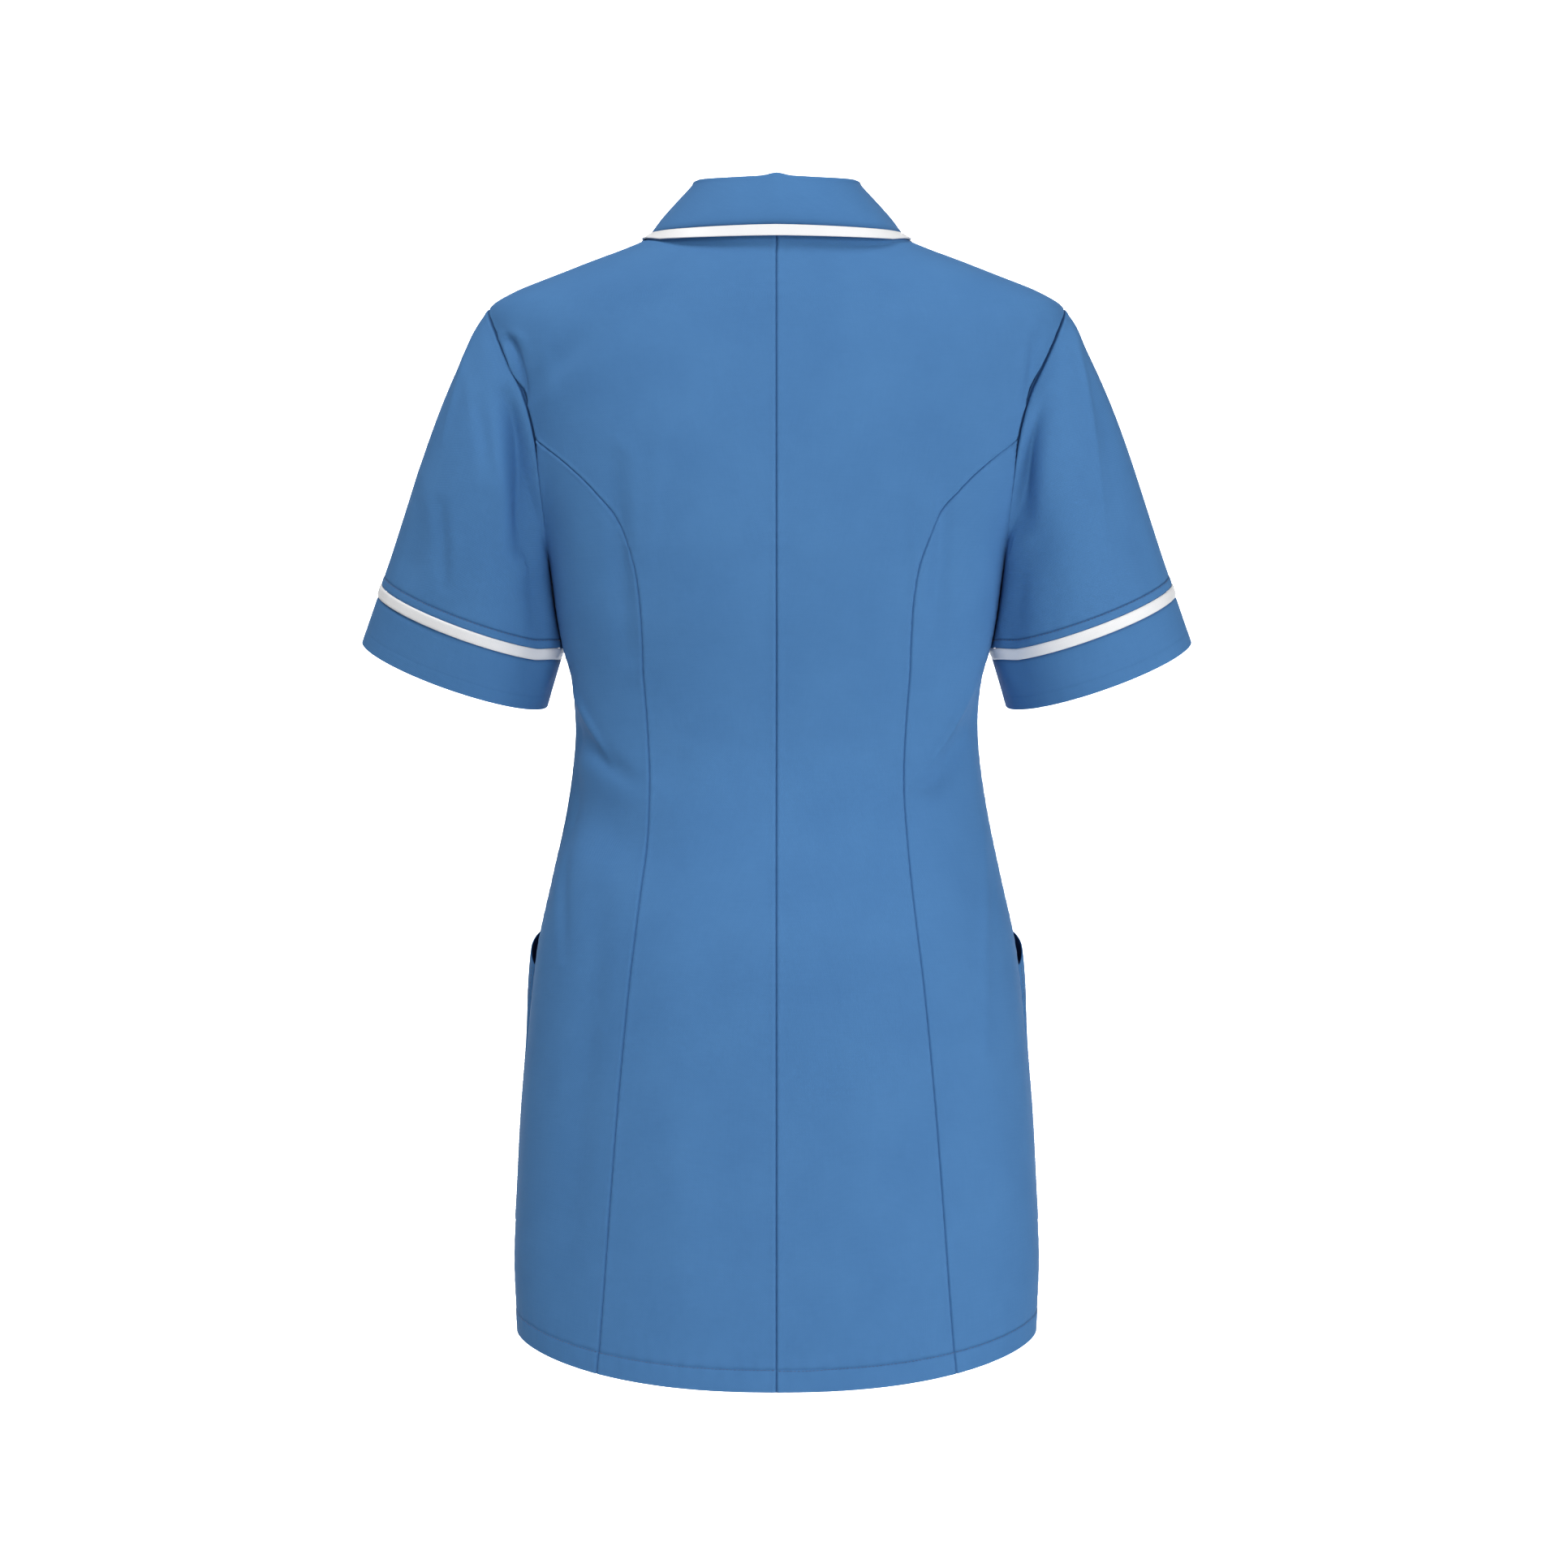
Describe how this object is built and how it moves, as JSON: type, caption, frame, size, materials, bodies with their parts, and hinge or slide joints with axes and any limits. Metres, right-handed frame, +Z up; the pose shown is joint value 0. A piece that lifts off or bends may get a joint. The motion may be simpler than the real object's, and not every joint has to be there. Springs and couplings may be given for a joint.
{
  "type": "medical tunic",
  "caption": "Fitted short-sleeved medical tunic, hollow as if worn, with a turned collar, button front, hip pockets, curved hem and white trim.",
  "frame": {"origin": "inside the base of the neck, where the wearer's neck and shoulders hold the tunic up", "axes": "+Z up, +Y to the back, +X to the wearer's left, so the front with the buttons faces -Y"},
  "size_m": [0.549, 0.2422, 0.7818],
  "materials": {
    "blue_cloth": "matte woven poly-cotton",
    "white_trim": "soft satin",
    "white_button": "gloss"
  },
  "bodies": {
    "root": {"back_left": "blue_cloth", "back_right": "blue_cloth", "side_back_left": "blue_cloth", "side_back_right": "blue_cloth", "front_left": "blue_cloth", "front_right": "blue_cloth", "sleeve_left": "blue_cloth", "sleeve_right": "blue_cloth", "cuff_left": "blue_cloth", "cuff_right": "blue_cloth", "cuff_trim_left": "white_trim", "cuff_trim_right": "white_trim", "collar": "blue_cloth", "collar_trim": "white_trim", "pocket_left": "blue_cloth", "pocket_right": "blue_cloth", "button_1": "white_button", "button_2": "white_button", "button_3": "white_button", "button_4": "white_button", "button_5": "white_button"}
  },
  "joints": []
}
